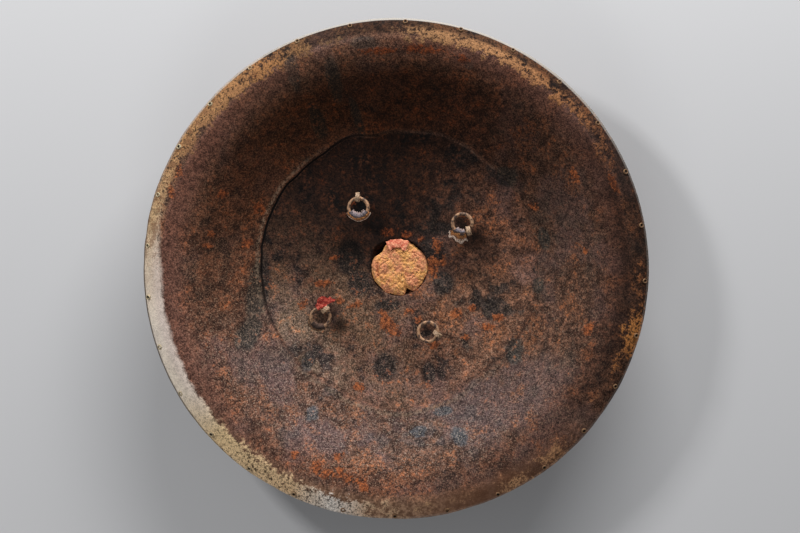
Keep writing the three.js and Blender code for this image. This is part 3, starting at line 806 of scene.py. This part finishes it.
# Strap remains
# What is left of the grip straps: thin dry leather folded round a ring's wire, cracked, with torn ends that
# hang towards the disc.
dry_leather = Finish("cracked_dry_leather", roughness=0.85)
leather_grain = dry_leather.grain(3.0, 41, detail=4, roughness=0.65)
leather_specks = dry_leather.grain(1.1, 42, detail=3, roughness=0.75)
from_ring = dry_leather.drawn("outward") * 0.5 + 0.5 + (leather_grain - 0.5) * 0.5
leather_tone = dry_leather.colours(from_ring, (
    (0.0, 176, 148, 138), (0.18, 150, 134, 134), (0.34, 112, 104, 112), (0.48, 84, 72, 74),
    (0.56, 70, 50, 40), (0.62, 232, 158, 92), (0.78, 160, 100, 60), (0.86, 250, 222, 200),
))
lower_one = (0 - dry_leather.axis(1)).between(20, 40)
brown_leather = dry_leather.colours(from_ring, (
    (0.0, 112, 82, 66), (0.3, 74, 52, 42), (0.62, 58, 40, 32), (0.74, 168, 126, 92), (0.84, 104, 72, 50),
    (0.92, 226, 194, 158),
))
leather_tone = dry_leather.mix(leather_tone, brown_leather, lower_one)
leather_tone = dry_leather.mix(leather_tone, paint(30, 22, 18), leather_specks.between(0.48, 0.58) * 0.9)
dry_leather.put(base_color=leather_tone)
dry_leather.bumps(leather_specks + leather_grain, 0.5)


def torn_fold(name, corner, arc, tail, dip, thickness, ragged, bulge, seed, sweep=0):
    """A scrap folded round a ring's wire over an arc, with both layers together in a torn tail that dips.
    It bulges towards the middle of the ring, and the end of the tail may sweep sideways."""
    fold = wire + 0.0003 + thickness / 2
    way = radians(-dip)
    start, end = (radians(angle) for angle in arc)
    bpy.ops.mesh.primitive_circle_add(
        vertices=14, radius=fold, fill_type="NOTHING", rotation=(radians(90), 0, 0))
    scrap = bpy.context.object
    scrap.name = name
    bpy.ops.object.transform_apply(location=True, rotation=True, scale=False)
    bpy.ops.object.mode_set(mode="EDIT")
    bpy.ops.mesh.select_all(action="SELECT")
    bpy.ops.transform.rotate(value=way, orient_axis="Y", center_override=(0, 0, 0))
    bpy.ops.mesh.select_mode(type="VERT")
    bpy.ops.mesh.select_all(action="DESELECT")
    bpy.ops.object.mode_set(mode="OBJECT")
    out = Vector((cos(way), 0, sin(way)))
    foremost = max(scrap.data.vertices, key=lambda v: v.co.dot(out))
    foremost.select = True
    bpy.ops.object.mode_set(mode="EDIT")
    bpy.ops.mesh.delete(type="VERT")
    bpy.ops.mesh.select_all(action="DESELECT")
    bpy.ops.object.mode_set(mode="OBJECT")
    for vertex in scrap.data.vertices:
        neighbours = sum(vertex.index in edge_of.vertices for edge_of in scrap.data.edges)
        vertex.select = neighbours == 1
    bpy.ops.object.mode_set(mode="EDIT")
    for step in range(4):
        bpy.ops.mesh.extrude_vertices_move(TRANSFORM_OT_translate={"value": out * tail / 4})
        if step == 0:
            bpy.ops.transform.resize(
                value=(1, 1, 0.55), orient_type="GLOBAL", center_override=out * (fold + tail / 4))
    bpy.ops.mesh.select_all(action="SELECT")
    bpy.ops.transform.translate(value=(ring_radius, 0, 0))
    bpy.ops.transform.rotate(value=-start, orient_axis="Z", center_override=(0, 0, 0))
    bpy.ops.mesh.spin(steps=18, angle=end - start, center=(0, 0, 0), axis=(0, 0, -1))
    face_outward()
    outward_now = scrap.data.attributes.new("outward", "FLOAT", "POINT")
    for vertex in scrap.data.vertices:
        place = vertex.co.copy()
        offset = hypot(place.x, place.y) - ring_radius
        outward_now.data[vertex.index].value = offset / (fold + tail * out.x) if offset > 0 else offset / fold
        angle = atan2(place.y, place.x)
        along = (angle - start) % tau / (end - start)
        from_wire = Vector((offset, 0, place.z)).length - fold
        tear = noise.noise(Vector((along * 5 + seed, seed, 0)))
        tear += 0.5 * noise.noise(Vector((along * 14 + seed, 0, seed)))
        level = Vector((cos(angle), sin(angle), 0))
        if from_wire > 0:
            share = from_wire / tail
            back = ragged * tail * share * (0.5 + tear)
            vertex.co -= (level * out.x + Vector((0, 0, out.z))) * back
            vertex.co += Vector((-level.y, level.x, 0)) * sweep * share
            vertex.co.z += 0.0011 * share * noise.noise(place * 260 + Vector((seed, 0, 0)))
        if offset < 0:
            uneven = 0.6 + 0.8 * noise.noise(Vector((along * 9, seed, 2)))
            vertex.co += level * offset / fold * bulge * uneven
        end_share = abs(along - 0.5) * 2
        pull = ragged * 0.16 * end_share * noise.noise(Vector((from_wire * 900, place.z * 700, seed)))
        vertex.co = Matrix.Rotation(pull, 3, "Z") @ vertex.co
    scrap.data.transform(ring_places[corner])
    use("SOLIDIFY", thickness=thickness, offset=0)
    use("SUBSURF", levels=2, render_levels=2)
    dent(0.0028, 0.0009)
    bpy.ops.object.shade_smooth()
    return scrap


strap_cuts = {
    "upper_left": {"arc": (-72, 64), "tail": 0.0035, "dip": 50, "ragged": 0.5, "bulge": 0.0036, "seed": 3.1},
    "upper_right": {"arc": (82, 156), "tail": 0.0104, "dip": 35, "ragged": 0.4, "bulge": 0.0018, "seed": 8.4},
    "lower_left": {"arc": (-32, 54), "tail": 0.0066, "dip": 45, "ragged": 0.6, "bulge": 0.001, "seed": 5.7},
}
for corner, cut in strap_cuts.items():
    strap = torn_fold(f"torn_strap_{corner}", corner, thickness=0.0009, **cut)
    strap.data.materials.append(dry_leather.material)
    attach(strap, "root")
    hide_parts(f"strap_{corner}")

# Red cloth on the lower left ring
# A faded crumpled end of red cloth, caught over the ring's wire and pushed in between the wire and the eye.
red_cloth = Finish("faded_red_cloth", roughness=0.95)
cloth_grain = red_cloth.grain(2.5, 51, detail=3)
cloth_threads = red_cloth.node("ShaderNodeTexWave", {"bands_direction": "DIAGONAL"},
                               {"Vector": red_cloth.place, "Scale": 0.6, "Distortion": 2.0})
cloth_tone = red_cloth.mix(paint(178, 48, 40), paint(236, 112, 92), cloth_grain.between(0.38, 0.62))
cloth_tone = red_cloth.shade(cloth_tone, 0.8 + 0.3 * cloth_threads)
red_cloth.put(base_color=cloth_tone)
red_cloth.bumps(cloth_threads * 0.5 + cloth_grain, 0.3)
towards_eye = (0.0036, 0.0026, 0)
red_scrap = torn_fold(
    "red_cloth_end", "lower_left", arc=(-162, -102), tail=0.0075, dip=-20, thickness=0.0006, ragged=0.4,
    bulge=0, seed=2.2, sweep=-0.0075)
red_scrap.data.transform(Matrix.Translation(towards_eye))
red_scrap.data.materials.append(red_cloth.material)
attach(red_scrap, "root")
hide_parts("red_cloth_scrap")

# Stuffing of the centre boss
# A dry crumpled lump of tan fibre fills the boss level with the disc. Its left edge is rolled up, a bite is
# missing at the upper left, and there is a nick at the lower right.
wad_radius = 0.0286
wad_level, wad_depth = disc_top - 0.0022, boss_depth - 0.0038
wad_dents = (
    (139, 17, 0.16), (290, 7, 0.24), (325, 22, 0.05), (48, 20, 0.07), (222, 9, 0.05), (255, 10, 0.03),
)


def wad_share(angle):
    """The lump's reach at an angle as a share of its radius"""
    fine = 0.02 * noise.noise(Vector((cos(radians(angle)), sin(radians(angle)), 3)) * 7)
    dents = sum(deep * exp(-((turn_between(angle, at) / wide) ** 2)) for at, wide, deep in wad_dents)
    return 1 + fine - dents


bpy.ops.mesh.primitive_cube_add(size=1, enter_editmode=True)
bpy.ops.mesh.subdivide(number_cuts=49)
bpy.ops.object.mode_set(mode="OBJECT")
wad = bpy.context.object
wad.name = "fibre_stuffing"
for vertex in wad.data.vertices:
    place = vertex.co.normalized() * wad_radius
    flat = hypot(place.x, place.y) / wad_radius
    angle = degrees(atan2(place.y, place.x))
    reach = share_of(1, wad_share(angle), min(flat * 1.3, 1))
    crown = (1 - flat ** 6) if place.z > 0 else 0
    vertex.co.x = place.x * reach
    vertex.co.y = place.y * reach
    towards_left = exp(-((turn_between(angle, 186) / 26) ** 2))
    roll = 0.0016 * exp(-(((flat - 0.9) / 0.06) ** 2))
    furrow = 0.0024 * exp(-(((flat - 0.78) / 0.04) ** 2))
    rolled = towards_left * (roll - furrow)
    if place.z >= 0:
        spot = Vector((place.x, place.y, 0))
        lump = noise.noise(spot * 90) + 0.5 * noise.noise(spot * 230)
        creases = 1 - abs(noise.noise(spot * 150 + Vector((7, 1, 2)))) * 7
        holes = max(0, noise.noise(spot * 520 + Vector((1, 8, 2))) - 0.28)
        rise = 0.0034 + 0.001 * lump - 0.0011 * max(0, creases) - 0.0045 * holes
        vertex.co.z = wad_level + rise * crown + rolled
    else:
        vertex.co.z = wad_level + place.z / wad_radius * wad_depth
use("SUBSURF", levels=1, render_levels=1)
dent(0.0022, 0.0011)
bpy.ops.object.shade_smooth()

fibre = Finish("dry_tan_fibre", roughness=0.95)
fibre_broad = fibre.grain(11, 61, detail=3)
fibre_mottle = fibre.grain(3.2, 62, detail=4, roughness=0.65)
fibre_fine = fibre.grain(1.0, 63, detail=3, roughness=0.7)
fibre_tone = fibre.mix(paint(222, 146, 104), paint(230, 166, 96), fibre_broad.between(0.42, 0.6))
fibre_tone = fibre.mix(fibre_tone, paint(206, 122, 88), fibre_mottle.between(0.54, 0.66) * 0.55)
fibre_tone = fibre.mix(fibre_tone, paint(238, 190, 130), (1 - fibre_mottle.between(0.34, 0.46)) * 0.7)
# Dark pits, and creases painted dark as their shade
crease_shade = 1 - ((fibre.grain(4.6, 64, detail=1) - 0.5) ** 2) ** 0.5 * 26
fibre_pits_and_shade = fibre_fine.between(0.57, 0.64).or_more(crease_shade.between(0.3, 1.0) * 0.6)
fibre_tone = fibre.mix(fibre_tone, paint(96, 44, 24), fibre_pits_and_shade * 0.85)
fibre.put(base_color=fibre_tone)
fibre.bumps(fibre_mottle * 0.6 + fibre_fine * 0.4 - fibre_pits_and_shade * 0.7, 0.4)
wad.data.materials.append(fibre.material)
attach(wad, "root")
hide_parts("centre_wad")

# Cloth on the stuffing
# A frayed scrap of the same red cloth lies along the upper edge of the stuffing.
bpy.ops.mesh.primitive_grid_add(x_subdivisions=44, y_subdivisions=14, size=1)
wad_scrap = bpy.context.object
wad_scrap.name = "frayed_wad_cloth"
for vertex in wad_scrap.data.vertices:
    along, over = vertex.co.x + 0.5, vertex.co.y + 0.5
    angle = radians(share_of(118, 70, along))
    tear = 0.0014 * noise.noise(Vector((along * 7, 0, 4))) + 0.0007 * noise.noise(Vector((along * 23, 1, 4)))
    reach = share_of(0.0196 + tear + 0.0018 * sin(along * 4), 0.0296 + 0.5 * tear, over) - 0.0012 * along
    ripple = 0.0007 * noise.noise(Vector((along * 6, over * 2, 9)))
    ripple += 0.0003 * noise.noise(Vector((along * 19, over * 5, 9)))
    height = disc_top + 0.0021 + ripple - 0.0016 * over ** 3
    vertex.co = (reach * cos(angle), reach * sin(angle), height)
use("SOLIDIFY", thickness=0.0005, offset=0)
use("SUBSURF", levels=1, render_levels=1)
bpy.ops.object.shade_smooth()
coral_cloth = Finish("faded_coral_cloth", roughness=0.95)
coral_grain = coral_cloth.grain(2.6, 71, detail=4, roughness=0.7)
coral_fine = coral_cloth.grain(0.9, 72, detail=2)
coral_tone = coral_cloth.mix(paint(200, 96, 72), paint(244, 166, 128), coral_grain.between(0.4, 0.6))
coral_tone = coral_cloth.mix(coral_tone, paint(104, 40, 30), coral_fine.between(0.55, 0.65) * 0.7)
coral_cloth.put(base_color=coral_tone)
coral_cloth.bumps(coral_grain + coral_fine * 0.5, 0.4)
wad_scrap.data.materials.append(coral_cloth.material)
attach(wad_scrap, "root")
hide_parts("wad_cloth")

# Front bosses
# Four hollow iron domes on the front, one over the spread legs of each eye. The top of each is worn flat, and
# the shield lies on these flats. They are out of the picture's sight and plain.
dome_rings = 9
flat_radius, hole_radius = 0.007, 0.0045
foot_flange, foot_rise = 0.0012, 0.0006
for corner in ring_fall:
    low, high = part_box(f"front_boss_{corner}")
    middle = (low + high) / 2
    foot_radius, foot_level = (high.x - low.x) / 2, high.z - foot_rise
    steps = [(foot_radius + foot_flange, high.z), (foot_radius, foot_level)]
    for i in range(1, dome_rings + 1):
        turn = radians(90 * i / dome_rings)
        radius = share_of(foot_radius, flat_radius, 1 - cos(turn))
        steps.append((radius, foot_level * (1 - sin(turn))))
    steps.append((hole_radius, 0))
    bpy.ops.mesh.primitive_circle_add(
        vertices=64, radius=steps[0][0], fill_type="NOTHING", enter_editmode=True)
    dome = bpy.context.object
    dome.name = f"domed_boss_{corner}"
    pull_rings(steps)
    bpy.ops.object.mode_set(mode="OBJECT")
    if dome.data.polygons[-1].normal.z > 0:
        dome.data.flip_normals()
    use("SOLIDIFY", thickness=0.0014, offset=-1)
    use("BEVEL", width=0.0003, segments=2, limit_method="ANGLE", angle_limit=radians(50))
    dome.location = (middle.x, middle.y, 0)
    bpy.ops.object.transform_apply(location=True, rotation=False, scale=False)
    bpy.ops.object.shade_smooth_by_angle(angle=radians(40))
    dome.data.materials.append(front.material)
    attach(dome, "root")
    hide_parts(f"front_boss_{corner}")
